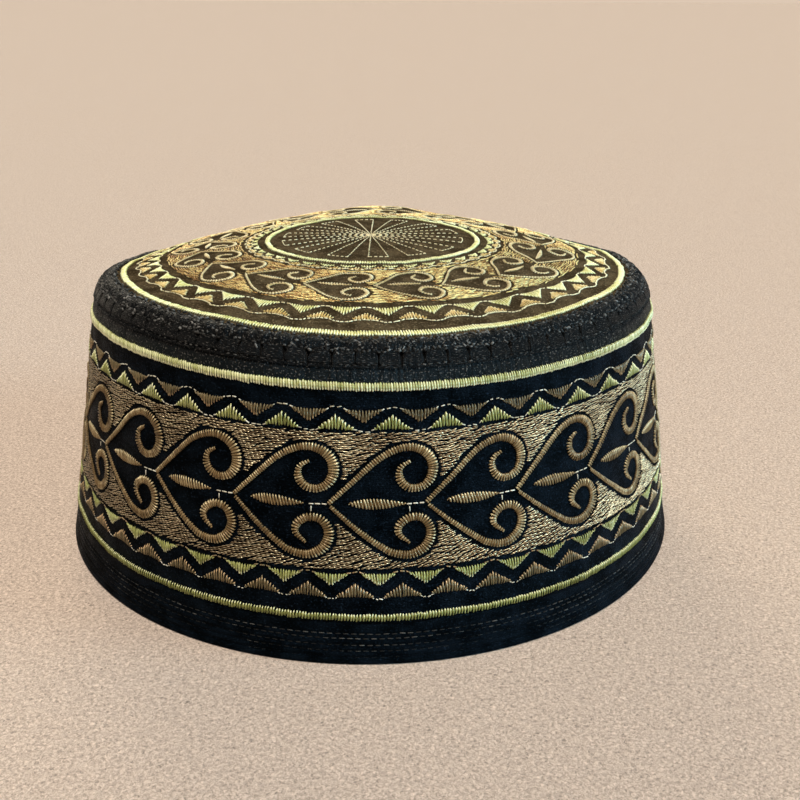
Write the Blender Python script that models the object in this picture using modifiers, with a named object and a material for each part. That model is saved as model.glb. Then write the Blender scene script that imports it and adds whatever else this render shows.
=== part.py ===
"""An embroidered prayer cap: hem, side band, pleated strip, seam welt and crown.

The cap stands on its hem, with +Z up, its front towards -Y and its origin at the centre of the rim.
One outer line runs from the rim up the side, over the shoulder and in to the crown's centre, and each
piece is a turned cloth wall along one stretch of it. The finished walls are then eased a little out
of round, as the soft cloth has settled.
"""

import bpy
import numpy as np

# The outer line as (radius, height) of the lines stitched round the cap, and of the crown's centre
LOWER_LINE = (0.0925, 0.0121)
UPPER_LINE = (0.0826, 0.0693)
CROWN_LINE = (0.0732, 0.0798)
CROWN_TOP = 0.0868
DOME_POWER = 2.24
SHOULDER_RISE = 0.0118
SHOULDER_RUN = 0.0018

# The rim, which stands a little wider than the side's straight line
RIM_RADIUS = 0.0950
RIM_ROUNDING = 0.0005
HEM_TOP = 0.0107

# Seams on the shoulder, as lengths along the outer line above the upper stitched line
BAND_SEAM = 0.0050
STRIP_SEAM = 0.0086
WELT_SEAM = 0.0115

# Thickness of each cloth wall, and the clearance between pieces that are sewn together
HEM_THICKNESS = 0.0030
BAND_THICKNESS = 0.0022
STRIP_THICKNESS = 0.0024
WELT_THICKNESS = 0.0026
WELT_SWELL = 0.0006
CROWN_THICKNESS = 0.0020
GAP = 0.0003

# Facets round the plain pieces, and samples of the curved stretches of the outer line
PLAIN_STEPS = 72
WELT_STEPS = 90
CURVE_SAMPLES = 160

# One pleat of the strip: where each of its points lies across it, from 0 to 1, and how deep. A notch
# opens upwards between pleats, and closes to nothing at the strip's lower seam
PLEATS = 90
PLEAT_COLUMNS = ("place", "depth")
PLEAT_POINTS = [
    (0.00, 0.0012),
    (0.14, 0.0002),
    (0.50, 0.0000),
    (0.86, 0.0002),
]

# How the cloth has settled out of round: each row is a wave round the cap, with the way it moves the
# cloth, its number of crests, its size at the crown's stitched line and the side that one crest
# faces, in degrees from the front (-Y) towards +X
WAVE_COLUMNS = ("moves", "crests", "size", "faces")
WAVES = [
    ("outward", 3, 0.0019, -44.0),
    ("upward", 2, 0.0012, -45.0),
    ("upward", 3, 0.0008, 60.0),
]

# Colours of the cloth and of the overcasting thread
BLACK_SATIN = (0.008, 0.010, 0.014)
CROWN_SATIN = (0.016, 0.013, 0.012)
BLACK_THREAD = (0.012, 0.012, 0.014)


def bezier(start, start_handle, end_handle, end):
    t = np.linspace(0.0, 1.0, CURVE_SAMPLES)[:, None]
    weights = ((1 - t) ** 3, 3 * t * (1 - t) ** 2, 3 * t * t * (1 - t), t**3)
    return sum(weight * point for weight, point in zip(weights, (start, start_handle, end_handle, end)))


def outer_line():
    """Points of the outer line from the level of the floor to the crown's centre, their lengths
    above the upper stitched line, and the inward direction at each."""
    low, high, edge = (np.array(line) for line in (LOWER_LINE, UPPER_LINE, CROWN_LINE))
    up_the_side = (high - low) / np.linalg.norm(high - low)
    floor = low - up_the_side * low[1] / up_the_side[1]
    side = np.linspace(floor, high, CURVE_SAMPLES)
    drop = CROWN_TOP - edge[1]
    down_the_dome = np.array((1.0, -DOME_POWER * drop / edge[0]))
    down_the_dome /= np.linalg.norm(down_the_dome)
    shoulder = bezier(high, high + SHOULDER_RISE * up_the_side, edge + SHOULDER_RUN * down_the_dome, edge)
    radii = np.linspace(edge[0], 0.0, CURVE_SAMPLES)
    dome = np.stack((radii, CROWN_TOP - drop * (radii / edge[0]) ** DOME_POWER), axis=1)
    points = np.concatenate((side, shoulder[1:], dome[1:]))
    steps = np.linalg.norm(np.diff(points, axis=0), axis=1)
    lengths = np.concatenate(([0.0], np.cumsum(steps))) - np.linalg.norm(high - floor)
    along = np.gradient(points, lengths, axis=0)
    along /= np.linalg.norm(along, axis=1)[:, None]
    return points, lengths, np.stack((-along[:, 1], along[:, 0]), axis=1)


LINE_POINTS, LINE_LENGTHS, LINE_INWARD = outer_line()
RIM_LENGTH = LINE_LENGTHS[0]
CENTRE_LENGTH = LINE_LENGTHS[-1]
CROWN_LENGTH = float(np.interp(-CROWN_LINE[0], -LINE_POINTS[:, 0], LINE_LENGTHS))


def on_line(lengths, depth):
    """Points that lie at a depth inside the outer line, at each length along it."""
    place = [np.interp(lengths, LINE_LENGTHS, LINE_POINTS[:, axis]) for axis in (0, 1)]
    inward = [np.interp(lengths, LINE_LENGTHS, LINE_INWARD[:, axis]) for axis in (0, 1)]
    return np.stack(place, axis=1) + np.stack(inward, axis=1) * np.reshape(depth, (-1, 1))


def wall_section(lengths, thickness, swell=0.0):
    """The section of a wall along the outer line: down its outer side, then back up its inner one."""
    outer = on_line(lengths, -np.broadcast_to(swell, len(lengths)))
    inner = on_line(lengths, np.full(len(lengths), thickness))
    return np.concatenate((outer[::-1], inner))


def hem_section():
    """The doubled edge: it flares to the rim, and its underside is flat."""
    top = wall_section([RIM_LENGTH + HEM_TOP], HEM_THICKNESS)
    inner_radius = RIM_RADIUS - HEM_THICKNESS
    underside = [
        (RIM_RADIUS, RIM_ROUNDING),
        (RIM_RADIUS - RIM_ROUNDING, 0.0),
        (inner_radius + RIM_ROUNDING, 0.0),
        (inner_radius, RIM_ROUNDING),
    ]
    return np.array([top[0], *underside, top[1]])


def band_section():
    side = np.linspace(RIM_LENGTH + HEM_TOP + GAP, 0.0, 3)
    turn_in = np.linspace(0.0, BAND_SEAM, 3)[1:]
    return wall_section(np.concatenate((side, turn_in)), BAND_THICKNESS)


def strip_section():
    return wall_section(np.linspace(BAND_SEAM + GAP, STRIP_SEAM, 3), STRIP_THICKNESS)


def welt_section():
    """A rounded rib, which stands above the cloth on both sides of the seam."""
    swell = WELT_SWELL * np.array((0.0, 1.0, 1.0, 0.0))
    return wall_section(np.linspace(STRIP_SEAM + GAP, WELT_SEAM, 4), WELT_THICKNESS, swell)


def crown_section():
    """The dome, open at the axis, where turning closes it."""
    edge = np.array((WELT_SEAM + GAP, (WELT_SEAM + CROWN_LENGTH) / 2))
    dome = CROWN_LENGTH + (CENTRE_LENGTH - CROWN_LENGTH) * np.linspace(0.0, 1.0, 9)
    section = wall_section(np.concatenate((edge, dome)), CROWN_THICKNESS)
    section[[0, -1], 0] = 0.0
    return section


def turned(name, section, steps, closed=True):
    """The mesh that a section of (radius, height) points makes when it turns round +Z."""
    line = bpy.data.meshes.new(name + " section")
    edges = [(i, i + 1) for i in range(len(section) - 1)]
    if closed:
        edges.append((len(section) - 1, 0))
    line.from_pydata([(radius, 0.0, height) for radius, height in section], edges, [])
    guide = bpy.data.objects.new(name + " section", line)
    bpy.context.scene.collection.objects.link(guide)
    screw = guide.modifiers.new("turned", "SCREW")
    screw.axis = "Z"
    screw.steps = steps
    screw.render_steps = steps
    screw.use_merge_vertices = True
    screw.merge_threshold = 0.00001
    graph = bpy.context.evaluated_depsgraph_get()
    mesh = bpy.data.meshes.new_from_object(guide.evaluated_get(graph))
    bpy.data.objects.remove(guide, do_unlink=True)
    bpy.data.meshes.remove(line)
    mesh.name = name
    return mesh


def points_of(mesh):
    points = np.empty(len(mesh.vertices) * 3)
    mesh.vertices.foreach_get("co", points)
    return points.reshape(-1, 3)


def pleated(points, section_size):
    """Turned points of the strip with its outer side pressed into pleats."""
    rings = points.reshape(-1, section_size, 3).copy()
    table = {column: np.array(values) for column, values in zip(PLEAT_COLUMNS, zip(*PLEAT_POINTS))}
    angles = np.arctan2(rings[:, 0, 1], rings[:, 0, 0])
    one_step = angles[1] - angles[0]
    row = np.arange(len(rings)) % len(PLEAT_POINTS)
    angles += (table["place"][row] * len(PLEAT_POINTS) - row) * one_step
    outer = section_size // 2
    opening = np.linspace(1.0, 0.0, outer)
    depth = table["depth"][row][:, None] * opening
    through = rings[:, :outer - 1:-1] - rings[:, :outer]
    through /= np.linalg.norm(through, axis=2)[:, :, None]
    rings[:, :outer] += depth[:, :, None] * through
    radius = np.hypot(rings[:, :, 0], rings[:, :, 1])
    rings[:, :, 0] = radius * np.cos(angles)[:, None]
    rings[:, :, 1] = radius * np.sin(angles)[:, None]
    return rings.reshape(-1, 3)


def eased(points):
    """Points moved as the cloth has settled: not at all at the rim, and most round the crown."""
    angle = np.arctan2(points[:, 0], -points[:, 1])
    share = np.hypot(points[:, 0], points[:, 1]) / CROWN_LINE[0]
    climb = np.clip((points[:, 2] - LOWER_LINE[1]) / (CROWN_LINE[1] - LOWER_LINE[1]), 0.0, 1.0)
    lift = np.clip(points[:, 2] / CROWN_LINE[1], 0.0, 1.0) ** 2
    moved = points.copy()
    for row in WAVES:
        wave = dict(zip(WAVE_COLUMNS, row))
        crest = wave["size"] * np.cos(wave["crests"] * (angle - np.radians(wave["faces"])))
        if wave["moves"] == "outward":
            moved[:, :2] += points[:, :2] * (climb * crest / CROWN_LINE[0])[:, None]
        else:
            moved[:, 2] += lift * crest * share ** wave["crests"]
    return moved


def cloth(name, colour, roughness):
    material = bpy.data.materials.new(name)
    material.use_nodes = True
    shader = material.node_tree.nodes["Principled BSDF"]
    shader.inputs["Base Color"].default_value = (*colour, 1.0)
    shader.inputs["Roughness"].default_value = roughness
    shader.inputs["Metallic"].default_value = 0.0
    material.diffuse_color = (*colour, 1.0)
    return material


def add_piece(collection, mesh, points, material):
    mesh.vertices.foreach_set("co", eased(points).ravel())
    mesh.materials.clear()
    mesh.materials.append(material)
    mesh.shade_smooth()
    mesh.set_sharp_from_angle(angle=np.radians(40.0))
    mesh.update()
    collection.objects.link(bpy.data.objects.new(mesh.name, mesh))


def add_hem(cap):
    mesh = turned("hem", hem_section(), PLAIN_STEPS)
    add_piece(cap, mesh, points_of(mesh), cloth("hem satin", BLACK_SATIN, 0.55))


def add_side_band(cap):
    mesh = turned("side_band", band_section(), PLAIN_STEPS)
    add_piece(cap, mesh, points_of(mesh), cloth("band satin", BLACK_SATIN, 0.55))


def add_pleated_strip(cap):
    section = strip_section()
    mesh = turned("pleated_strip", section, PLEATS * len(PLEAT_POINTS))
    points = pleated(points_of(mesh), len(section))
    add_piece(cap, mesh, points, cloth("strip satin", BLACK_SATIN, 0.60))


def add_seam_welt(cap):
    mesh = turned("seam_welt", welt_section(), WELT_STEPS)
    add_piece(cap, mesh, points_of(mesh), cloth("overcasting thread", BLACK_THREAD, 0.40))


def add_crown(cap):
    mesh = turned("crown", crown_section(), PLAIN_STEPS, closed=False)
    add_piece(cap, mesh, points_of(mesh), cloth("crown satin", CROWN_SATIN, 0.60))


def main():
    for obj in list(bpy.data.objects):
        bpy.data.objects.remove(obj, do_unlink=True)
    cap = bpy.data.collections.new("prayer_cap")
    bpy.context.scene.collection.children.link(cap)
    add_hem(cap)
    add_side_band(cap)
    add_pleated_strip(cap)
    add_seam_welt(cap)
    add_crown(cap)


main()
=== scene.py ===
"""The looks of an embroidered prayer cap, dressed over its CAD model.

Embroidery is laid out on the cap's outer line: an angle in degrees round from the front (-Y) towards
+X, and a length in mm along the line, which is 0 at the upper ring and negative below it.
"""

import bpy
import numpy as np
from mathutils import Matrix, Vector


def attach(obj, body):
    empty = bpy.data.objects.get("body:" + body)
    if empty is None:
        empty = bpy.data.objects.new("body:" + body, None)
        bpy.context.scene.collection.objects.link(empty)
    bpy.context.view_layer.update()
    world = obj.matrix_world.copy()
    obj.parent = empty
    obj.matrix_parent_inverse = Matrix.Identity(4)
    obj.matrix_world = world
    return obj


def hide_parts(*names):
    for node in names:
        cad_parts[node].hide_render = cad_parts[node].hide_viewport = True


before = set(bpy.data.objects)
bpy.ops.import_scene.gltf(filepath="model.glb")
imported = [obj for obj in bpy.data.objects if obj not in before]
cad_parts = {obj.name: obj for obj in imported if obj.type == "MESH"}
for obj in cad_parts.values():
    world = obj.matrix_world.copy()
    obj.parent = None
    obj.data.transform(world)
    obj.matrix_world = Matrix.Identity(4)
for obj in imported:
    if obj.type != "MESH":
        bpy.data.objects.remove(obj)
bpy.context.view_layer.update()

# The hem
# The side's black satin is turned under and doubled, so the edge is thick and rounded. Rows of
# top-stitching hold it, and press shallow channels into it.

MM = 0.001
LOWER_RING = np.array((92.5, 12.1))  # radius and height of the rings stitched round the cap
UPPER_RING = np.array((82.6, 69.3))
CROWN_RING = np.array((73.2, 79.8))
CROWN_TOP = 86.8
DOME_POWER = 2.24  # how flat the crown is in the middle
SHOULDER_RISE = 11.8  # how far the side runs on, and the crown, before the shoulder turns
SHOULDER_RUN = 1.8
LINE_SAMPLES = 160  # on each of the outer line's three stretches
CROWN_START = 2 * LINE_SAMPLES - 20  # the first sample that crown() reads, just outside its ring


def outer_line():
    """The outer line's points, their lengths from the upper ring, and the outward direction at each."""
    up_the_side = (UPPER_RING - LOWER_RING) / np.linalg.norm(UPPER_RING - LOWER_RING)
    floor = LOWER_RING - up_the_side * LOWER_RING[1] / up_the_side[1]
    side = np.linspace(floor, UPPER_RING, LINE_SAMPLES)
    drop = CROWN_TOP - CROWN_RING[1]
    down_the_dome = np.array((1.0, -DOME_POWER * drop / CROWN_RING[0]))
    down_the_dome /= np.linalg.norm(down_the_dome)
    t = np.linspace(0.0, 1.0, LINE_SAMPLES)[:, None]
    shoulder = (
        (1 - t) ** 3 * UPPER_RING
        + 3 * t * (1 - t) ** 2 * (UPPER_RING + SHOULDER_RISE * up_the_side)
        + 3 * t * t * (1 - t) * (CROWN_RING + SHOULDER_RUN * down_the_dome)
        + t**3 * CROWN_RING
    )
    radii = np.linspace(CROWN_RING[0], 0.0, LINE_SAMPLES)
    dome = np.stack((radii, CROWN_TOP - drop * (radii / CROWN_RING[0]) ** DOME_POWER), axis=1)
    points = np.concatenate((side, shoulder[1:], dome[1:]))
    steps = np.linalg.norm(np.diff(points, axis=0), axis=1)
    lengths = np.concatenate(([0.0], np.cumsum(steps))) - np.linalg.norm(UPPER_RING - floor)
    along = np.gradient(points, lengths, axis=0)
    along /= np.linalg.norm(along, axis=1)[:, None]
    return points, lengths, np.stack((along[:, 1], -along[:, 0]), axis=1)


line, lengths, outward = outer_line()


def wall(height):
    """Length along the outer line of a height on the side wall."""
    return np.interp(height, line[:LINE_SAMPLES, 1], lengths[:LINE_SAMPLES])


def crown(radius):
    """Length along the outer line of a radius on the crown."""
    return np.interp(-radius, -line[CROWN_START:, 0], lengths[CROWN_START:])


def table(columns, *rows):
    """A table's rows, each by the names of its columns."""
    return [dict(zip(columns, row)) for row in rows]


def bell(away, breadth):
    """1 in the middle, and fading smoothly on both sides of it."""
    return np.exp(-((away / breadth) ** 2))


def facing(angle, faces, breadth):
    """1 at the side of the cap that faces an angle, and fading smoothly to both sides of it."""
    return bell((angle - faces + 180.0) % 360.0 - 180.0, breadth)


WAVES = table(
    ("moves", "crests", "faces", "size"),
    ("outward", 3, -44.0, 1.9),
    ("upward", 2, -45.0, 1.2),
    ("upward", 3, 60.0, 0.8),
)
SAGS = table(("faces", "breadth", "drop"), (-126.0, 38.0, 2.6), (142.0, 38.0, 3.5))  # the crown's sunk edge
SAG_POWER = 8  # how closely the sags keep to the crown's edge
RIDGE_RISE = 1.7  # a low ridge across the back of the crown
RIDGE_FACES, RIDGE_BREADTH = 181.0, 16.0
RIDGE_RADIUS, RIDGE_DEPTH = 56.0, 13.0


def settled(angle, radius, height):
    """Places in metres, with the soft cloth eased a little out of round as it stands."""
    turn = np.radians(angle)
    share = radius / CROWN_RING[0]
    climb = np.clip((height - LOWER_RING[1]) / (CROWN_RING[1] - LOWER_RING[1]), 0.0, 1.0)
    lift = np.clip(height / CROWN_RING[1], 0.0, 1.0) ** 2
    outwards, upwards = 0.0, 0.0
    for wave in WAVES:
        crest = wave["size"] * np.cos(wave["crests"] * (turn - np.radians(wave["faces"])))
        if wave["moves"] == "outward":
            outwards = outwards + crest * climb * share
        else:
            upwards = upwards + crest * share ** wave["crests"]
    for sag in SAGS:
        drop = sag["drop"] * facing(angle, sag["faces"], sag["breadth"])
        upwards = upwards - drop * np.minimum(share, 1.0) ** SAG_POWER
    ridge = facing(angle, RIDGE_FACES, RIDGE_BREADTH) * bell(radius - RIDGE_RADIUS, RIDGE_DEPTH)
    upwards = upwards + RIDGE_RISE * ridge
    radius = radius + outwards
    height = height + lift * upwards
    return MM * np.stack((radius * np.sin(turn), -radius * np.cos(turn), height), axis=-1)


RIPPLES = table(
    ("waves", "climb", "start", "size"),
    (9, 0.05, 5.0, 0.13),
    (14, 0.11, 0.4, 0.09),
    (23, -0.17, 1.9, 0.07),
    (37, 0.23, 3.1, 0.05),
)
CALM_RADIUS, CALM_HEIGHT = 60.0, 12.0  # inside one and below the other, the ripples fade
WELD = 0.002  # points closer than this become one, where the cloth's ends meet


def on_cap(angle, length, rise):
    """Places on the cloth, in metres, at a rise in mm off it. The cloth ripples a little."""
    radius = np.interp(length, lengths, line[:, 0])
    height = np.interp(length, lengths, line[:, 1])
    fade = np.clip(radius / CALM_RADIUS, 0.0, 1.0) * np.clip(height / CALM_HEIGHT, 0.0, 1.0)
    for ripple in RIPPLES:
        wave = ripple["waves"] * np.radians(angle) + ripple["climb"] * length + ripple["start"]
        rise = rise + fade * ripple["size"] * np.sin(wave)
    radius = radius + rise * np.interp(length, lengths, outward[:, 0])
    height = height + rise * np.interp(length, lengths, outward[:, 1])
    return settled(angle, radius, height)


def wrapped_grid(name, columns, rows, place, size, thickness, *materials):
    """A flat grid wrapped round the cap: place gives each point from its angle and its share of the
    way up. Size is the cloth's width and height in mm, which its UV map keeps, and thickness is its
    cloth's, on the inner side, or 0 where its own section closes the wall."""
    bpy.ops.object.select_all(action="DESELECT")
    bpy.ops.mesh.primitive_grid_add(x_subdivisions=columns, y_subdivisions=rows, size=2)
    piece = bpy.context.active_object
    piece.name = piece.data.name = name
    mesh = piece.data
    flat = np.empty(len(mesh.vertices) * 3)
    mesh.vertices.foreach_get("co", flat)
    flat = flat.reshape(-1, 3)
    places = place(180.0 * flat[:, 0], (flat[:, 1] + 1.0) / 2.0)
    mesh.vertices.foreach_set("co", places.ravel())
    unwrapped = np.empty(len(mesh.loops) * 2)
    mesh.uv_layers[0].data.foreach_get("uv", unwrapped)
    unwrapped = unwrapped.reshape(-1, 2) * size
    mesh.uv_layers[0].data.foreach_set("uv", unwrapped.ravel())
    bpy.ops.object.mode_set(mode="EDIT")
    bpy.ops.mesh.select_all(action="SELECT")
    bpy.ops.mesh.remove_doubles(threshold=WELD * MM)
    bpy.ops.mesh.normals_make_consistent(inside=False)
    bpy.ops.object.mode_set(mode="OBJECT")
    bpy.ops.object.shade_smooth()
    if thickness:
        solid = piece.modifiers.new("cloth thickness", "SOLIDIFY")
        solid.thickness = thickness * MM
        solid.offset = -1.0
        bpy.ops.object.modifier_apply(modifier=solid.name)
    for material in materials:
        mesh.materials.append(material)
    return piece


def plug(tree, socket, value):
    """Sets a socket's value, or links it where the value is another node's output."""
    if isinstance(value, bpy.types.NodeSocket):
        tree.links.new(value, socket)
    else:
        socket.default_value = value


def fit(tree, made, **values):
    """Sets a node's attributes and inputs by their names, with _ for a space."""
    for name, value in values.items():
        if hasattr(made, name):
            setattr(made, name, value)
        else:
            plug(tree, made.inputs[name.replace("_", " ")], value)
    return made


def node(tree, kind, **values):
    """A new node of a tree, with its values."""
    return fit(tree, tree.nodes.new(f"ShaderNode{kind}"), **values)


def maths(tree, operation, *values, kind="Math", **settings):
    """What a Math node, or a VectorMath one, makes of its values."""
    made = node(tree, kind, operation=operation, **settings)
    for socket, value in zip(made.inputs, values):
        plug(tree, socket, value)
    return made.outputs[0]


def texture(tree, kind, place, **values):
    """A Noise or Wave texture's strength at a place."""
    return node(tree, f"Tex{kind}", Vector=place, **values).outputs["Fac"]


def mapped(tree, value, **values):
    """A value mapped from one range to another."""
    return node(tree, "MapRange", Value=value, **values).outputs["Result"]


def mixed(tree, kind, share, one, other, **values):
    """A mix of two numbers or two colours."""
    values = dict(data_type=kind, Factor=share, A=one, B=other, **values)
    return node(tree, "Mix", **values).outputs["Result"]


def new_material(name):
    """A new material, its node tree and its shader."""
    material = bpy.data.materials.new(name)
    material.use_nodes = True
    return material, material.node_tree, material.node_tree.nodes["Principled BSDF"]


def node_group(name, outputs, vectors=(), **floats):
    """A node group with its inputs and its float outputs, and its two end nodes."""
    tree = bpy.data.node_groups.new(name, "ShaderNodeTree")
    for label in vectors:
        tree.interface.new_socket(label, in_out="INPUT", socket_type="NodeSocketVector")
    for label, value in floats.items():
        socket = tree.interface.new_socket(label, in_out="INPUT", socket_type="NodeSocketFloat")
        socket.default_value = value
    for label in outputs:
        tree.interface.new_socket(label, in_out="OUTPUT", socket_type="NodeSocketFloat")
    return tree, tree.nodes.new("NodeGroupInput"), tree.nodes.new("NodeGroupOutput")


def satin_weave():
    """Cloth: fine floats of thread across one another, slubs, dull and shiny patches, and glints
    where a float catches the light. Puckers are small wrinkles that run up the cloth."""
    inputs = dict(vectors=["Vector"], Pitch=1.0, Glints=0.0, Puckers=0.0)
    tree, given, made = node_group("satin weave", ("Shade", "Height"), **inputs)
    place = given.outputs["Vector"]
    scaled = maths(tree, "SCALE", place, kind="VectorMath", Scale=given.outputs["Pitch"])
    warp = texture(tree, "Wave", scaled, bands_direction="X", Scale=0.9, Distortion=4.0)
    weft = texture(tree, "Wave", scaled, bands_direction="Y", Scale=0.7, Distortion=5.0)
    slub = texture(tree, "Noise", scaled, Scale=1.9, Detail=3.0, Roughness=0.7)
    patch = texture(tree, "Noise", scaled, Scale=0.16, Detail=2.0)
    speck = texture(tree, "Noise", scaled, Scale=1.5, Detail=1.0)
    threads = maths(tree, "MULTIPLY_ADD", warp, 0.8, weft)
    height = maths(tree, "MULTIPLY_ADD", slub, 6.0, threads)
    upright = maths(tree, "MULTIPLY", place, (0.75, 0.16, 1.0), kind="VectorMath")
    wrinkle = texture(tree, "Noise", upright, Scale=1.0, Detail=1.0)
    wrinkled = maths(tree, "MULTIPLY_ADD", wrinkle, given.outputs["Puckers"], height)
    shade = mapped(tree, maths(tree, "MULTIPLY", slub, patch), From_Min=0.19, From_Max=0.34)
    glint = mapped(tree, speck, From_Min=0.60, From_Max=0.72)
    shone = maths(tree, "MULTIPLY_ADD", glint, given.outputs["Glints"], shade)
    fit(tree, made, Shade=shone, Height=wrinkled)
    return tree


satin_group = satin_weave()
WEAVE_DEPTH = 0.0001  # in metres, of the weave where the relief is 1


def satin_cloth(name, dark, light, pitch, glints, relief, gloss, sheen, puckers=0.0, coordinates="UV"):
    """A satin material: its weave lies on the cloth's own UV map, or on the object's place."""
    material, tree, shader = new_material(name)
    place = node(tree, "TexCoord").outputs[coordinates]
    weave = node(tree, "Group", node_tree=satin_group, Vector=place, Pitch=pitch)
    fit(tree, weave, Glints=glints, Puckers=puckers)
    shade, height = weave.outputs["Shade"], weave.outputs["Height"]
    bump = node(tree, "Bump", Strength=1.0, Distance=relief * WEAVE_DEPTH, Height=height)
    colour = mixed(tree, "RGBA", shade, (*dark, 1.0), (*light, 1.0), clamp_factor=False)
    rough = mapped(tree, shade, To_Min=0.58, To_Max=0.40)
    fit(tree, shader, Base_Color=colour, Roughness=rough, Normal=bump.outputs["Normal"])
    fit(tree, shader, Specular_IOR_Level=gloss, Specular_Tint=(*sheen, 1.0))
    return material


black_satin = satin_cloth(
    "black satin",
    dark=(0.0004, 0.0008, 0.0012),
    light=(0.0030, 0.0054, 0.0088),
    pitch=1.0,
    glints=2.5,
    relief=0.5,
    gloss=0.02,
    sheen=(0.4, 0.75, 1.0),
)

HEM_TOP = 11.4
HEM_RIM = 95.0
HEM_THICKNESS = 3.0
HEM_ROUNDING = 0.7
HEM_TURN_IN = 0.9
HEM_ROWS = (7.9, 6.7, 5.0, 3.5, 1.9)  # heights of the rows of top-stitching
OUTER_STEPS, CORNER_STEPS, INNER_STEPS = 44, 5, 8
CHANNEL_DEPTH, CHANNEL_BREADTH = 0.22, 0.33
CLOTH_EDGE = 0.8  # how much of a cloth turns in, at an edge that lies under another piece


def turned_in(from_edge, depth):
    """How far a cloth turns in, at a distance from its edge."""
    return depth * np.clip(1.0 - from_edge / CLOTH_EDGE, 0.0, 1.0) ** 2


def hem_section():
    """(radius, height) down the hem's outer side, along its underside and up its inner side."""
    heights = np.linspace(HEM_TOP, HEM_ROUNDING, OUTER_STEPS)
    slope = (HEM_RIM - LOWER_RING[0]) / LOWER_RING[1]
    radii = LOWER_RING[0] + (LOWER_RING[1] - heights) * slope
    for row in HEM_ROWS:
        radii = radii - CHANNEL_DEPTH * bell(heights - row, CHANNEL_BREADTH)
    radii = radii - turned_in(HEM_TOP - heights, HEM_TURN_IN)
    corner = np.linspace(0.0, np.pi / 2, CORNER_STEPS)[1:]
    outer_turn = np.stack((np.cos(corner), 1 - np.sin(corner)), axis=1) * HEM_ROUNDING
    outer_turn += (HEM_RIM - HEM_ROUNDING, 0.0)
    inner_turn = np.stack((-np.sin(corner), 1 - np.cos(corner)), axis=1) * HEM_ROUNDING
    inner_turn += (HEM_RIM - HEM_THICKNESS + HEM_ROUNDING, 0.0)
    inner_heights = np.linspace(HEM_ROUNDING, HEM_TOP, INNER_STEPS)[1:]
    inner_radii = HEM_RIM - HEM_THICKNESS - inner_heights * slope
    outer = np.stack((radii, heights), axis=1)
    inner = np.stack((inner_radii, inner_heights), axis=1)
    return np.concatenate((outer, outer_turn, inner_turn, inner, outer[:1]))


def place_hem(angle, up):
    section = hem_section()
    row = np.linspace(0.0, 1.0, len(section))
    return settled(angle, np.interp(up, row, section[:, 0]), np.interp(up, row, section[:, 1]))


HEM_SIZE = (590.0, 28.0)
hem = wrapped_grid("hem_cloth", 240, len(hem_section()) - 1, place_hem, HEM_SIZE, 0.0, black_satin)
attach(hem, "root")
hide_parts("hem")

# The stitches
# A stitch is one short length of thread that comes out of the cloth, bows over it and goes back in.
# It is modelled once, flattened and blunt, and every stitch on the cap is a copy of it.

STITCH_TIP = 0.45  # from the middle, as a share of the stitch's length
STITCH_FULLNESS = (1.48, 1.15, 1.15)
bpy.ops.object.select_all(action="DESELECT")
bpy.ops.mesh.primitive_uv_sphere_add(segments=4, ring_count=3, radius=0.5, rotation=(0.0, np.pi / 2, 0.0))
stitch = bpy.context.active_object
bpy.ops.object.transform_apply(location=False, rotation=True, scale=False)
bpy.ops.object.mode_set(mode="EDIT")
bpy.ops.mesh.select_all(action="DESELECT")
bpy.ops.object.mode_set(mode="OBJECT")
for vertex in stitch.data.vertices:
    vertex.select = abs(vertex.co.x) < STITCH_TIP
bpy.ops.object.mode_set(mode="EDIT")
bpy.ops.transform.resize(value=STITCH_FULLNESS)
bpy.ops.object.mode_set(mode="OBJECT")
stitch_points = np.array([vertex.co[:] for vertex in stitch.data.vertices])
stitch_corners = np.array([loop.vertex_index for loop in stitch.data.loops])
stitch_firsts = np.array([face.loop_start for face in stitch.data.polygons])
bpy.data.objects.remove(stitch, do_unlink=True)


def mm_per_degree(length):
    """How many mm a degree is round the cap, at a length on the outer line."""
    return np.radians(1.0) * np.maximum(np.interp(length, lengths, line[:, 0]), 1.0)


STITCH_SIZES = (0.85, 1.15)  # the least and the most of the width and bow that a stitch takes
BOW_POWER = 6  # how squarely a stitch bows over the cloth
SUNK = 0.05  # how deep a stitch lies in the cloth


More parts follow.
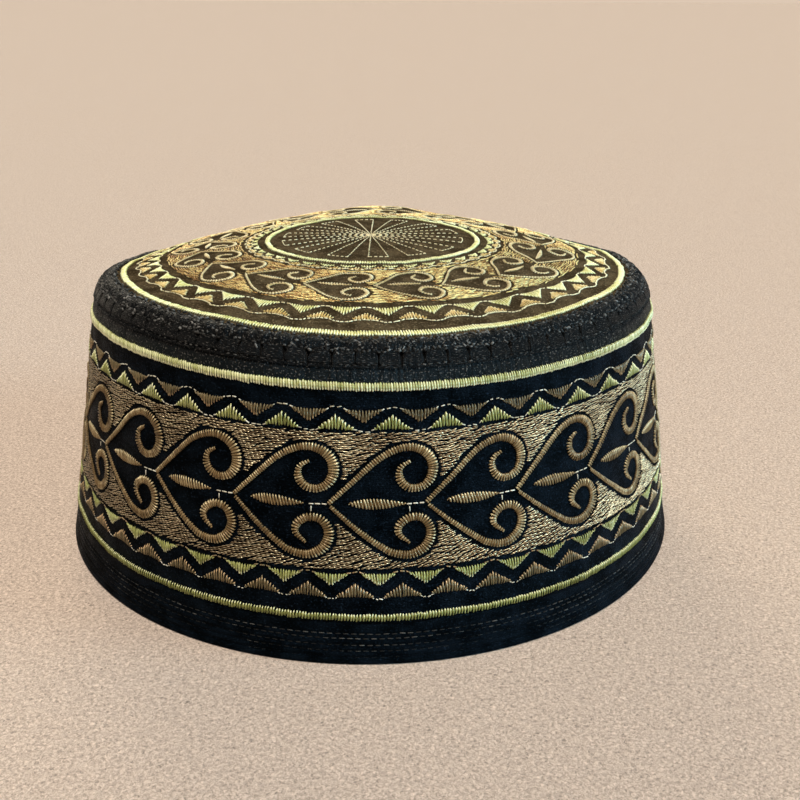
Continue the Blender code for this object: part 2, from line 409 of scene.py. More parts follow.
def sew(name, rows, width, bow, thread, slot, seed, depth=0.30, jitter=0.04, shine=1.0, even=0.5):
    """A piece made of stitches, one for each row: the angle and length of its start, the same of its
    end, and its loft, the share of the full bow that it takes, which also scales its tone, so that
    lower stitches are painted darker, as shade. Other sizes are in mm. Shine makes all its stitches
    lighter or darker, and even is how light the darkest is beside the lightest."""
    random = np.random.default_rng(seed)
    count, size = len(rows), len(stitch_points)
    start, end, loft = rows[:, 0:2], rows[:, 2:4], rows[:, 4]
    degree = mm_per_degree((start[:, 1] + end[:, 1]) / 2)
    scale = np.stack((degree, np.ones(count)), axis=1)
    start = start + random.normal(0.0, jitter, (count, 2)) / scale
    end = end + random.normal(0.0, jitter, (count, 2)) / scale
    run = (end - start) * scale
    across = np.stack((-run[:, 1], run[:, 0]), axis=1) / np.linalg.norm(run, axis=1)[:, None] / scale
    along, aside, above = (stitch_points + (0.5, 0.0, 0.0)).T
    widths = width * random.uniform(*STITCH_SIZES, count)
    bows = bow * loft * random.uniform(*STITCH_SIZES, count)
    place = start[:, None] + along[None, :, None] * (end - start)[:, None]
    place = place + (aside * widths[:, None])[:, :, None] * across[:, None]
    rise = bows[:, None] * (1 - (2 * along - 1) ** BOW_POWER) + depth * above - SUNK
    points = on_cap(place[..., 0], place[..., 1], rise).reshape(-1, 3)
    mesh = bpy.data.meshes.new(name)
    mesh.vertices.add(len(points))
    mesh.vertices.foreach_set("co", points.ravel())
    copies = np.arange(count)[:, None]
    mesh.loops.add(len(stitch_corners) * count)
    mesh.loops.foreach_set("vertex_index", (stitch_corners + size * copies).ravel())
    mesh.polygons.add(len(stitch_firsts) * count)
    mesh.polygons.foreach_set("loop_start", (stitch_firsts + len(stitch_corners) * copies).ravel())
    round_thread = 0.5 + np.arctan2(aside, above) / (2 * np.pi)
    unwrapped = np.stack((along, round_thread), axis=1)[stitch_corners]
    mesh.uv_layers.new(name="UVMap")
    mesh.uv_layers[0].data.foreach_set("uv", np.tile(unwrapped, (count, 1)).ravel())
    tone = mesh.attributes.new("tone", "FLOAT", "POINT")
    tone.data.foreach_set("value", np.repeat(random.uniform(even, 1.0, count) * loft * shine, size))
    mesh.update(calc_edges=True)
    mesh.validate()
    mesh.shade_smooth()
    mesh.materials.append(thread)
    piece = bpy.data.objects.new(name, mesh)
    bpy.context.scene.collection.objects.link(piece)
    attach(piece, "root")


def level_line(length):
    """Points round the cap at one length on the outer line, a degree apart."""
    return np.stack((np.linspace(-180.0, 180.0, 361), np.full(361, length)), axis=1)


def running(points, stitch_length, gap):
    """Rows of running stitch along a line of (angle, length) points."""
    points = np.array(points)
    degree = mm_per_degree((points[:-1, 1] + points[1:, 1]) / 2)
    steps = np.diff(points, axis=0) * np.stack((degree, np.ones(len(degree))), axis=1)
    far = np.concatenate(([0.0], np.cumsum(np.linalg.norm(steps, axis=1))))
    count = max(1, round((far[-1] + gap) / (stitch_length + gap)))
    pitch = (far[-1] + gap) / count
    begin = pitch * np.arange(count)
    columns = [np.interp(place, far, points[:, i]) for place in (begin, begin + pitch - gap) for i in (0, 1)]
    return np.stack((*columns, np.ones(count)), axis=1)


def thread_twist():
    """Thread: the tone of each stitch, broken up along it by painted glints where its strands turn
    over, and with a painted highlight at its first end, at the edge of the work, where it catches
    the light."""
    inputs = dict(Turns=2.0, Drift=0.30, Sparkle=0.30, Body=1.0, Tips=0.0)
    tree, given, made = node_group("thread twist", ("Tone", "Height"), **inputs)
    place = node(tree, "TexCoord")
    unwrapped, turns = place.outputs["UV"], given.outputs["Turns"]
    twist = texture(tree, "Wave", unwrapped, bands_direction="DIAGONAL", Distortion=1.5, Scale=turns)
    tone = node(tree, "Attribute", attribute_name="tone").outputs["Fac"]
    cloud = texture(tree, "Noise", place.outputs["Object"], Scale=70.0, Detail=2.0)
    clouded = mapped(tree, cloud, From_Min=0.35, From_Max=0.65)
    drifted = mixed(tree, "FLOAT", given.outputs["Drift"], tone, clouded)
    twisted = mixed(tree, "FLOAT", given.outputs["Sparkle"], drifted, twist)
    along = node(tree, "SeparateXYZ", Vector=unwrapped).outputs["X"]
    tip = mapped(tree, along, interpolation_type="SMOOTHSTEP", From_Min=0.38, From_Max=0.08)
    highlighted = maths(tree, "MULTIPLY", tip, given.outputs["Tips"])
    weight = maths(tree, "ADD", highlighted, given.outputs["Body"])
    tipped = maths(tree, "MULTIPLY", twisted, weight, use_clamp=True)
    fit(tree, made, Tone=tipped, Height=twist)
    return tree


thread_group = thread_twist()
TWIST_DEPTH = 0.00008  # in metres, of the grooves between a thread's strands


def thread_material(
    name, tones, metallic=0.0, rough=0.34, turns=2.0, sparkle=0.3, body=1.0, highlight=0.0, gloss=0.7
):
    """A thread's material: each stitch has its own tone, along a ramp from dark to light. The lightest
    stops of a ramp are paler than the thread's own colour and paint in the highlights and glints it catches.
    """
    material, tree, shader = new_material(name)
    twist = node(tree, "Group", node_tree=thread_group, Turns=turns, Sparkle=sparkle, Body=body, Tips=highlight)
    tone, height = twist.outputs["Tone"], twist.outputs["Height"]
    colour = node(tree, "ValToRGB", Fac=tone)
    while len(colour.color_ramp.elements) < len(tones):
        colour.color_ramp.elements.new(0.5)
    for stop, (position, shade) in zip(colour.color_ramp.elements, tones):
        stop.position = position
        stop.color = (*shade, 1.0)
    roughness = mapped(tree, tone, To_Min=rough + 0.10, To_Max=rough - 0.06)
    bump = node(tree, "Bump", Strength=0.5, Distance=TWIST_DEPTH, Height=height)
    fit(tree, shader, Base_Color=colour.outputs["Color"], Roughness=roughness)
    fit(tree, shader, Normal=bump.outputs["Normal"], Metallic=metallic, Specular_IOR_Level=gloss)
    return material


# The black thread's lightest stop is a painted glint, which only a few of its stitches reach.
black_thread = thread_material(
    "black thread",
    [(0.0, (0.0008, 0.0008, 0.0008)), (0.50, (0.010, 0.0095, 0.0085)), (0.95, (0.22, 0.215, 0.20))],
    rough=0.45,
    gloss=0.2,
)
black = (black_thread, "black_thread")
rows = np.concatenate([running(level_line(wall(row)), 1.5, 0.5) for row in HEM_ROWS])
sew("hem_top_stitching", rows, 0.28, 0.04, *black, 11, even=0.02, shine=0.75)

# The side band
# One tapering strip of black satin, sewn into the hem and under the pleats, with its embroidery worked
# through a backing. Above the upper ring, where it turns up to the light, it takes a lighter copy of
# its satin, with painted light, and puckers more.

BAND_FOOT, BAND_SEAM = wall(10.6), 5.0
BAND_LIT_FROM = 0.6  # where the band turns to its lighter copy of satin, with painted light
BAND_THICKNESS = 2.2
BAND_TURN_IN = 0.35
BAND_SIZE = (550.0, 64.0)


def place_band(angle, up):
    length = BAND_FOOT + (BAND_SEAM - BAND_FOOT) * up
    return on_cap(angle, length, -turned_in(BAND_SEAM - length, BAND_TURN_IN))


# The shoulder satin is the band's black satin painted lighter, for the light that falls on it where it turns
# up above the upper ring.
lit_shoulder_satin = satin_cloth(
    "shoulder satin",
    dark=(0.0004, 0.0005, 0.0006),
    light=(0.0125, 0.0115, 0.0105),
    pitch=1.3,
    glints=16.0,
    relief=2.8,
    gloss=0.17,
    sheen=(0.62, 0.86, 1.0),
    puckers=12.0,
)
cloths = (black_satin, lit_shoulder_satin)
band = wrapped_grid("band_cloth", 360, 64, place_band, BAND_SIZE, BAND_THICKNESS, *cloths)
lit_from = BAND_SIZE[1] * (BAND_LIT_FROM - BAND_FOOT) / (BAND_SEAM - BAND_FOOT)
for face in band.data.polygons:
    face.material_index = int(band.data.uv_layers[0].uv[face.loop_start].vector.y > lit_from)
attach(band, "root")
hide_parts("side_band")


def satin(edge, other_edge, back_loft=0.38):
    """Rows of satin stitch between two edges: a leg straight across for each pair of points, and a
    lower one that brings the thread back to the next pair, painted darker, as shade, through its
    lower loft. The first edge is the one that gets the painted highlight at its stitches' ends."""
    over = np.concatenate((edge, other_edge, np.ones((len(edge), 1))), axis=1)
    back = np.concatenate((edge[1:], other_edge[:-1], np.full((len(edge) - 1, 1), back_loft)), axis=1)
    return np.concatenate((over, back))


EDGE_SHIFTS = table(("faces", "breadth", "rise"), (8.0, 30.0, -1.0), (-88.0, 28.0, 1.2), (86.0, 24.0, 0.8))
EDGE_FRONT, EDGE_FRONT_BREADTH = 8.0, 30.0  # where the crown's outer ring is widest
EDGE_NARROWING = 0.3
RING_SLANT = 0.16  # in degrees, from one edge of a ring to the other
RING_UNEVEN = 0.07


def edge_shift(angle):
    """How far up from their usual level the crown's outer ring and the welt's upper edge lie."""
    return sum(edge["rise"] * facing(angle, edge["faces"], edge["breadth"]) for edge in EDGE_SHIFTS)


def satin_ring(length, width, pitch, seed, back_loft=0.5, at_edge=False):
    """A line of satin stitch all the way round, a little uneven at its edges. A negative width puts
    the edge with the painted highlight below. At the crown's edge it shifts, and is widest in front."""
    random = np.random.default_rng(seed)
    legs = round(360.0 * mm_per_degree(length) / pitch)
    angles = np.linspace(-180.0, 180.0, legs + 1)
    lost = EDGE_NARROWING * at_edge * (1.0 - facing(angles, EDGE_FRONT, EDGE_FRONT_BREADTH))
    level = length + at_edge * edge_shift(angles) - lost * abs(width) / 2
    width = width * (1.0 - lost)
    edges = []
    for side in (0.5, -0.5):
        uneven = random.normal(0.0, RING_UNEVEN, legs + 1)
        edges.append(np.stack((angles + RING_SLANT * side, level + side * width + uneven), axis=1))
    return satin(*edges, back_loft)


yellow_green = thread_material(
    "yellow-green thread",
    [(0.0, (0.02, 0.025, 0.004)), (0.45, (0.34, 0.35, 0.085)), (1.0, (1.0, 0.98, 0.62))],
    body=0.75,
    highlight=0.8,
)
green = (yellow_green, "yellow_green_thread")
# The lower ring's stitches are painted darker, as shade, for the little light that reaches the foot of the
# wall.
rows = satin_ring(wall(12.2), 1.9, 0.75, 21, back_loft=0.25)
sew("side_lower_ring", rows, 0.34, 0.42, *green, 23, depth=0.34, jitter=0.07, shine=0.75)
# The upper ring's stitches are painted lighter, for the light that falls on it where the wall turns over to
# the shoulder.
rows = satin_ring(wall(69.8), -2.3, 0.66, 22)
sew("side_upper_ring", rows, 0.42, 0.42, *green, 24, depth=0.36, shine=1.9)
TRIANGLE_SLOPE = 0.84  # how far down its slopes run, as a share of a triangle's height


def triangle(centre, level, base, apex, base_width, edge_width, legs):
    """Satin stitch that fills a triangle: from a straight base to two slopes that meet at an apex.
    Level is wall, where base and apex are heights, or crown, where they are radii."""
    base, apex = level(base), level(apex)
    share = np.linspace(-1.0, 1.0, legs)
    degree = mm_per_degree(base)
    foot = np.stack((centre + share * base_width / 2 / degree, np.full(legs, base)), axis=1)
    slope = base + (apex - base) * (1.0 - TRIANGLE_SLOPE * np.abs(share))
    edge = np.stack((centre + share * edge_width / 2 / degree, slope), axis=1)
    return satin(edge, foot)


def drawn(rows, drift, share=1.0):
    """Rows moved round the cap as the cloth was drawn when it was worked: drift is a table of angles
    and the degrees they moved, and share is how much of that each end of a row takes."""
    rows = rows.copy()
    rows[:, [0, 2]] += share * np.interp(rows[:, [0, 2]], *np.array(drift).T, period=360.0)
    return rows


def outline(centre, level, shape, stitch_length=1.3, gap=0.35):
    """A running stitch through (angle from the centre, height or radius) points."""
    return running([(centre + angle, level(place)) for angle, place in shape], stitch_length, gap)


bronze = thread_material(
    "bronze thread",
    [(0.0, (0.02, 0.013, 0.005)), (0.45, (0.18, 0.135, 0.058)), (1.0, (0.72, 0.48, 0.26))],
    metallic=0.2,
    body=0.7,
    highlight=0.6,
)
cream_thread = thread_material(
    "cream thread", [(0.0, (0.10, 0.085, 0.05)), (0.4, (0.50, 0.45, 0.32)), (0.9, (0.98, 0.95, 0.82))]
)
cream = (cream_thread, "cream_thread")

# The lower zigzag
# Two facing rows of triangles in satin stitch leave a zigzag of black cloth between them. Short
# cream running stitches edge the zigzag where it turns.

LOWER_TEETH = 49
LOWER_FIRST = -1.05
LOWER_BRONZE = dict(base=17.3, apex=21.0, base_width=8.0, edge_width=9.0, legs=13)
LOWER_GREEN = dict(base=23.4, apex=20.0, base_width=8.2, edge_width=7.0, legs=12)
LOWER_LOW_TURN = [(-1.1, 17.4), (-0.45, 16.9), (0.45, 16.9), (1.1, 17.4)]
LOWER_HIGH_TURN = [(-1.4, 23.4), (-0.7, 23.8), (0.7, 23.8), (1.4, 23.4)]
LOWER_BRONZE_TONE = 1.2  # lighter and redder than the ones above the hearts
green_rows, bronze_rows, cream_rows = [], [], []
for tooth in range(LOWER_TEETH):
    crest = LOWER_FIRST + tooth * 360.0 / LOWER_TEETH
    valley = crest + 180.0 / LOWER_TEETH
    bronze_rows += [triangle(crest, wall, **LOWER_BRONZE), outline(crest, wall, LOWER_HIGH_TURN)]
    green_rows.append(triangle(valley, wall, **LOWER_GREEN))
    cream_rows.append(outline(valley, wall, LOWER_LOW_TURN, 0.8, 0.3))
for rows in bronze_rows:
    rows[:, 4] *= LOWER_BRONZE_TONE

# The upper zigzag
# The same pattern above the heart chain, with fewer and larger teeth, and the yellow-green
# triangles standing where the bronze ones hang.

UPPER_TEETH = 42
UPPER_FIRST = 5.1
UPPER_DRIFT = [
    (-110.0, 2.5),
    (-63.0, 2.2),
    (-46.0, 0.0),
    (-25.0, -1.2),
    (-3.5, -0.8),
    (10.0, 0.4),
    (42.0, 1.35),
    (56.0, 1.1),
    (75.0, 0.2),
]
UPPER_GREEN = dict(base=58.9, apex=62.7, base_width=7.0, edge_width=7.8, legs=11)
UPPER_BRONZE = dict(base=63.8, apex=60.4, base_width=8.2, edge_width=7.2, legs=12)
UPPER_HIGH_TURN = [(-1.8, 63.5), (-0.8, 64.3), (0.8, 64.4), (1.8, 63.7)]
UPPER_LOW_TURN = [(-1.8, 59.2), (-0.8, 58.6), (0.8, 58.6), (1.8, 59.2)]
green_above, bronze_above, cream_above = [], [], []
for tooth in range(UPPER_TEETH):
    crest = UPPER_FIRST + tooth * 360.0 / UPPER_TEETH
    valley = crest - 180.0 / UPPER_TEETH
    green_above.append(triangle(crest, wall, **UPPER_GREEN))
    bronze_above.append(triangle(valley, wall, **UPPER_BRONZE))
    cream_above += [outline(crest, wall, UPPER_HIGH_TURN), outline(valley, wall, UPPER_LOW_TURN)]
green_rows, bronze_rows, cream_rows = (
    np.concatenate((*below, drawn(np.concatenate(above), UPPER_DRIFT)))
    for below, above in ((green_rows, green_above), (bronze_rows, bronze_above), (cream_rows, cream_above))
)
sew("side_green_triangles", green_rows, 0.36, 0.30, *green, 31, jitter=0.09)
sew("side_bronze_triangles", bronze_rows, 0.34, 0.28, bronze, "bronze_thread", 32, jitter=0.09)
sew("side_cream_outlines", cream_rows, 0.28, 0.14, *cream, 33, depth=0.2, jitter=0.12, even=0.2)

# The heart chain
# Each heart is two scrolling arms that part at a tip, worked in gold satin stitch that widens round
# the scroll, with a leaf between them. A running stitch carries the thread to the next heart.

SIDE_HEARTS = 23
SIDE_TIP_ANGLE = -5.45
SIDE_TIP_LEVEL = wall(41.0)
SIDE_DEGREE = 1.5207  # mm along the chain for each degree
SIDE_UPPER_ARM = [  # mm along the chain, mm up from it and the width of the stitches
    (0.5, -0.1, 1.2),
    (6.3, 5.2, 1.5),
    (12.7, 10.9, 1.7),
    (17.2, 13.3, 1.9),
    (21.2, 13.7, 2.2),
    (24.6, 11.9, 2.7),
    (26.0, 8.8, 2.9),
    (25.2, 5.5, 2.6),
    (22.8, 3.6, 2.1),
    (19.7, 3.7, 2.2),
    (17.7, 6.0, 2.2),
    (17.9, 8.7, 1.5),
    (20.1, 10.2, 0.8),
]
SIDE_LOWER_ARM = [
    (0.9, -1.0, 1.0),
    (6.8, -6.1, 1.4),
    (12.3, -10.4, 1.7),
    (15.9, -12.7, 2.0),
    (20.2, -13.3, 2.4),
    (23.8, -11.2, 2.7),
    (25.0, -7.6, 2.6),
    (23.3, -4.4, 2.3),
    (20.0, -3.9, 2.2),
    (17.4, -5.8, 2.3),
    (17.3, -8.0, 1.6),
    (19.6, -10.2, 0.7),
]
SCROLL_PITCH = 0.68
SCROLL_SAMPLES = 24  # between two rows of an arm's table


def smooth_line(arm, step):
    """Points a step apart along a smooth line through the rows of an arm's table."""
    knots = np.array(arm)
    before = np.concatenate((2 * knots[:1] - knots[1:2], knots[:-1]))
    after = np.concatenate((knots[1:], 2 * knots[-1:] - knots[-2:-1]))
    slope = (after - before) / 2
    t = np.linspace(0.0, 1.0, SCROLL_SAMPLES, endpoint=False)[:, None]
    parts = []
    for i in range(len(knots) - 1):
        parts.append(
            (2 * t**3 - 3 * t**2 + 1) * knots[i]
            + (t**3 - 2 * t**2 + t) * slope[i]
            + (3 * t**2 - 2 * t**3) * knots[i + 1]
            + (t**3 - t**2) * slope[i + 1]
        )
    fine = np.concatenate((*parts, knots[-1:]))
    far = np.concatenate(([0.0], np.cumsum(np.linalg.norm(np.diff(fine[:, :2], axis=0), axis=1))))
    places = np.linspace(0.0, far[-1], round(far[-1] / step) + 1)
    return np.stack([np.interp(places, far, fine[:, i]) for i in range(3)], axis=1)


def arm_edges(arm, step, turns_left):
    """The outer and the inner edge of a scroll, as (along, up) points in mm from the heart's tip."""
    middle = smooth_line(arm, step)
    ahead = np.gradient(middle[:, :2], axis=0)
    ahead /= np.linalg.norm(ahead, axis=1)[:, None]
    sideways = np.stack((-ahead[:, 1], ahead[:, 0]), axis=1) * middle[:, 2:] / 2
    if turns_left:
        sideways = -sideways
    return middle[:, :2] + sideways, middle[:, :2] - sideways


def leaf_edges(begin, end, level, half_height, lean, step):
    """The two edges of a leaf: pointed at both ends, with its stitches leaning."""
    share = np.linspace(0.0, 1.0, round((end - begin) / step) + 1)
    half = half_height * np.sin(np.pi * share**0.85) ** 0.8
    along = begin + (end - begin) * share
    upper = np.stack((along - lean * half, level + half), axis=1)
    lower = np.stack((along + lean * half, level - half), axis=1)
    return upper, lower


def round_chain(rows, count, tip_angle, tip_level, degree):
    """One heart's stitches, measured in mm from its tip, copied round the cap to every heart."""
    copies = []
    for heart in range(count):
        angle = tip_angle + heart * 360.0 / count
        shift = np.array((angle, tip_level, angle, tip_level, 0.0))
        copies.append(rows / (degree, 1.0, degree, 1.0, 1.0) + shift)
    return np.concatenate(copies)


SIDE_CHAIN = (SIDE_HEARTS, SIDE_TIP_ANGLE, SIDE_TIP_LEVEL, SIDE_DEGREE)
SIDE_LEAF = dict(begin=5.5, end=19.0, level=-0.3, half_height=1.5, lean=0.25, step=0.80)
SIDE_DRIFT = [
    (-110.0, 2.0),
    (-66.0, 1.6),
    (-52.0, 0.3),
    (-38.0, -0.8),
    (-23.0, -0.95),
    (-8.0, -0.6),
    (8.0, 0.0),
    (50.0, 0.0),
    (60.0, -0.4),
    (90.0, 0.0),
]
FREE_LENGTH = 12.0  # from a heart's tip to where its stitches follow the drift in full


def chained(rows):
    """One side heart's stitches at every heart. They follow the drift more the further they are from
    its tip."""
    share = np.tile(np.clip(rows[:, [0, 2]] / FREE_LENGTH, 0.0, 1.0), (SIDE_HEARTS, 1))
    return drawn(round_chain(rows, *SIDE_CHAIN), SIDE_DRIFT, share)


gold_scroll = thread_material(
    "gold scroll thread",
    [(0.0, (0.025, 0.012, 0.004)), (0.45, (0.27, 0.17, 0.065)), (1.0, (1.0, 0.86, 0.52))],
    metallic=0.3,
    rough=0.32,
    body=0.72,
    highlight=0.4,
)
for name, arm, seed in (("upper", SIDE_UPPER_ARM, 41), ("lower", SIDE_LOWER_ARM, 42)):
    rows = chained(satin(*arm_edges(arm, SCROLL_PITCH, name == "lower"), back_loft=0.6))
    sew(f"side_{name}_scrolls", rows, 0.42, 0.50, gold_scroll, "gold_thread", seed, depth=0.32, even=0.3)

rows = chained(satin(*leaf_edges(**SIDE_LEAF)))
sew("side_leaves", rows, 0.40, 0.30, gold_scroll, "bronze_thread", 43, shine=1.15)

LINK_GAP = 0.1  # the share of each stitch that is left open


def straight(begin, end, stitches):
    """Rows of a few stitches on a straight line between two points in mm from a heart's tip."""
    shares = np.linspace(0.0, 1.0, stitches + 1)[:, None]
    places = np.array(begin) + shares * (np.array(end) - np.array(begin))
    rows = np.concatenate((places[:-1], places[1:], np.ones((stitches, 1))), axis=1)
    rows[:, 2:4] -= LINK_GAP * (rows[:, 2:4] - rows[:, 0:2])
    return rows


rows = np.concatenate((straight((19.1, -0.5), (23.9, -0.4), 3), straight((19.9, -1.0), (19.9, -2.7), 1)))
sew("side_links", round_chain(rows, *SIDE_CHAIN), 0.32, 0.12, *cream, 44, depth=0.2)

# The gold field
# Everything round the hearts is filled with rows of long gold stitches, which lie nearly flat and
# leave a margin of black cloth round each scroll.

SCROLL_FOOT = 0.7  # past this share of the way to the next tip, an arm curls back to the chain's middle


def heart_outline(upper, lower, pitch):
    """A heart's closed outline: out along one arm to the foot of its scroll, by the next heart's tip
    to the foot of the other scroll, and back."""
    parts = []
    for arm in (upper, lower):
        foot = np.argmin(np.where(arm[:, 0] > SCROLL_FOOT * pitch, np.abs(arm[:, 1]), np.inf))
        parts.append(arm[: foot + 1, :2])
    return np.concatenate((parts[0], [(pitch, 0.0)], parts[1][::-1]))


def inside(points, corners):
    """Which points lie inside a closed outline."""
    crossed = np.zeros(len(points), dtype=bool)
    for one, other in zip(corners, np.roll(corners, -1, axis=0)):
        if one[1] == other[1]:
            continue
        spans = (one[1] > points[:, 1]) != (other[1] > points[:, 1])
        share = (points[:, 1] - one[1]) / (other[1] - one[1])
        crossed ^= spans & (points[:, 0] < one[0] + share * (other[0] - one[0]))
    return crossed


CELL_BEGIN, CELL_END = -0.4, 0.6  # one heart's share of the field, from its tip, in pitches
ARM_STEP = 0.5
SHORTEST_ROW, SHORTEST_STITCH = 0.9, 0.45
FIELD_STEP = 0.12  # between the places along a row where its room is looked at
ROW_WOBBLE = 0.2
STITCH_OVERLAP = 0.15
THREAD_REACH = 0.3  # the share of a scroll's width that the field keeps clear on each side


def field_cell(arms, pitch, levels, climbs, margin, off_chain, row_pitch, stitches):
    """Rows of stitches that fill one heart's share of the field, in mm from its tip. The climbs are
    how many row pitches a row rises in one heart's pitch, below the chain and above it, so that it
    meets a row of the next heart's share; stitches is how many it has in that pitch. Nothing comes
    nearer the middle of the chain than off_chain."""
    low, high = levels
    fine = [smooth_line(arm, ARM_STEP) for arm in arms]
    shifts = [np.array((shift * pitch, 0.0)) for shift in (-2, -1, 0, 1)]
    hearts = [heart_outline(*fine, pitch) + shift for shift in shifts]
    threads = np.concatenate([arm[:, :2] + shift for arm in fine for shift in shifts])
    reach = np.concatenate([arm[:, 2] * THREAD_REACH + margin for arm in fine for shift in shifts])
    length = pitch / stitches
    first, last = CELL_BEGIN * pitch, CELL_END * pitch
    across = np.arange(first - length, last + length, FIELD_STEP)
    wobble = ROW_WOBBLE * np.sin(6 * np.pi * across / pitch)
    rows = []
    for above, climb in enumerate(climbs):
        rise = climb * row_pitch * (across - first) / pitch + wobble
        for number in range(int((low - rise.max()) / row_pitch), int((high - rise.min()) / row_pitch) + 1):
            row = np.stack((across, number * row_pitch + rise), axis=1)
            clear = (row[:, 1] > low) & (row[:, 1] < high)
            clear &= row[:, 1] * (2 * above - 1) > off_chain
            for heart in hearts:
                clear &= ~inside(row, heart)
            for i in np.flatnonzero(clear):
                clear[i] = np.all(np.hypot(*(threads - row[i]).T) > reach)
            edges = np.flatnonzero(np.diff(np.concatenate(([0], clear, [0]))))
            for begin, finish in zip(across[edges[::2]], across[edges[1::2] - 1]):
                if finish - begin < SHORTEST_ROW:
                    continue
                cuts = first + length * (np.arange(-2, stitches + 2) + (2 * number % 5) / 5)  # staggered
                cuts = np.unique(np.clip(cuts, begin, finish))
                for one, other in zip(cuts[:-1], cuts[1:]):
                    if first <= one < last and other - one > SHORTEST_STITCH:
                        ends = np.interp((one, other), across, row[:, 1])
                        rows.append((one - STITCH_OVERLAP, ends[0], other + STITCH_OVERLAP, ends[1], 1.0))
    return np.array(rows)


gold_field = thread_material(
    "gold field thread",
    [(0.12, (0.008, 0.003, 0.001)), (0.5, (0.20, 0.095, 0.024)), (0.82, (1.0, 0.86, 0.56))],
    metallic=0.65,
    turns=1.6,
    sparkle=0.55,
    body=1.1,
)
side_field = field_cell(
    arms=(SIDE_UPPER_ARM, SIDE_LOWER_ARM),
    pitch=360.0 / SIDE_HEARTS * SIDE_DEGREE,
    levels=(wall(24.5) - SIDE_TIP_LEVEL, wall(58.2) - SIDE_TIP_LEVEL),
    climbs=(16, 6),
    margin=1.12,
    off_chain=2.4,
    row_pitch=0.55,
    stitches=11,
)
gold = (gold_field, "gold_thread")
FIELD_HIGHLIGHT_FACES, FIELD_HIGHLIGHT_BREADTH = 60.0, 20.0  # where a painted highlight lightens the lower field, standing in for a warm reflection there
# The lower field's stitches are painted darker, as shade, for the little light that reaches low on the wall.
for name, above, width, shine in (("lower", False, 0.31, 0.76), ("upper", True, 0.35, 1.0)):
    rows = side_field[(side_field[:, 1] > 0.0) == above]
    rows = drawn(round_chain(rows, *SIDE_CHAIN), SIDE_DRIFT)
    if not above:
        rows[:, 4] += facing(rows[:, 0], FIELD_HIGHLIGHT_FACES, FIELD_HIGHLIGHT_BREADTH)
    sew(f"side_{name}_field", rows, width, 0.22, *gold, 52 + above, 0.32, 0.13, shine, even=0.05)

# The pleated strip
# A narrow strip of black satin turns the side in over the shoulder. It is gathered into small
# pleats, with V-shaped notches between them that open upwards, and a seam holds its foot.

PLEATS = 90
PLEAT_SHIFT = -1.1
PLEAT_PLACES = (0.0, 0.03, 0.07, 0.11, 0.16, 0.3, 0.5, 0.7, 0.84, 0.89, 0.93, 0.97, 1.0)
PLEAT_SWELL = 0.10
CREASE_DEPTH, CREASE_BREADTH = 0.06, 0.04
NOTCH_DEPTH, NOTCH_WIDTH = 1.5, 0.18  # the width is half of the notch's, as a share of a pleat
NOTCH_FOOT, NOTCH_RUN = 1.2, 2.0  # above the seam, and from there to its full width
STRIP_FOOT, STRIP_HEAD = 4.5, 8.5
STRIP_SEAM, SEAM_DEPTH, SEAM_BREADTH = 5.2, 0.5, 0.3
STRIP_RISE = 0.35
STRIP_THICKNESS = 1.6
STRIP_SIZE = (620.0, 10.0)


def place_strip(angle, up):
    length = STRIP_FOOT + (STRIP_HEAD - STRIP_FOOT) * up
    columns = len(PLEAT_PLACES) - 1
    column = angle / 360.0 * PLEATS * columns
    pleat = np.floor(column / columns + 1e-6)
    turn = np.interp(np.clip(column - pleat * columns, 0, columns), np.arange(columns + 1), PLEAT_PLACES)
    uneven = 0.35 + 0.75 * np.sin(2.4 * np.round(angle / 360.0 * PLEATS)) ** 2  # from notch to notch
    opened = np.clip((length - STRIP_SEAM - NOTCH_FOOT) / NOTCH_RUN, 0.0, 1.0)
    away = np.minimum(turn, 1.0 - turn)
    press = NOTCH_DEPTH * np.clip(1.0 - away / (NOTCH_WIDTH * uneven * opened + 0.001), 0.0, 1.0)
    press = press + CREASE_DEPTH * bell(away, CREASE_BREADTH) - PLEAT_SWELL * np.sin(np.pi * turn)
    press = press + SEAM_DEPTH * bell(length - STRIP_SEAM, SEAM_BREADTH)
    return on_cap((pleat + turn) * 360.0 / PLEATS + PLEAT_SHIFT, length, STRIP_RISE - press)


# The strip and the welt take a lighter copy of the black satin, with the light that falls on them as they
# turn up over the shoulder painted in.
lit_pleated_satin = satin_cloth(
    "pleated satin",
    dark=(0.0003, 0.0004, 0.0005),
    light=(0.0100, 0.0093, 0.0086),
    pitch=1.4,
    glints=20.0,
    relief=2.8,
    gloss=0.14,
    sheen=(0.8, 0.92, 1.0),
    puckers=9.0,
)
strip_columns = PLEATS * (len(PLEAT_PLACES) - 1)
strip = wrapped_grid(
    "strip_cloth", strip_columns, 16, place_strip, STRIP_SIZE, STRIP_THICKNESS, lit_pleated_satin
)
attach(strip, "root")
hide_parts("pleated_strip")

rows = running(level_line(STRIP_SEAM), 0.8, 0.9)
sew("strip_seam_stitches", rows, 0.38, 0.1, *black, 61, jitter=0.16, even=0.2)

# The seam welt
# The strip and the crown are joined by a raised seam: a thin cord of folded edges, overcast all over
# with shiny black thread.

WELT_FOOT, WELT_HEAD = 8.0, 13.2
WELT_FOLLOWS = 0.9  # the share of the crown's shifts that the welt's upper edge takes
WELT_SWELL, WELT_SUNK = 0.9, 0.3
WELT_THICKNESS = 2.4
WELT_SIZE = (500.0, 4.0)


def up_the_welt(angle, up):
    """Lengths on the welt. Its upper edge follows the crown's outer ring."""
    head = WELT_HEAD + WELT_FOLLOWS * edge_shift(angle)
    return WELT_FOOT + (head - WELT_FOOT) * up


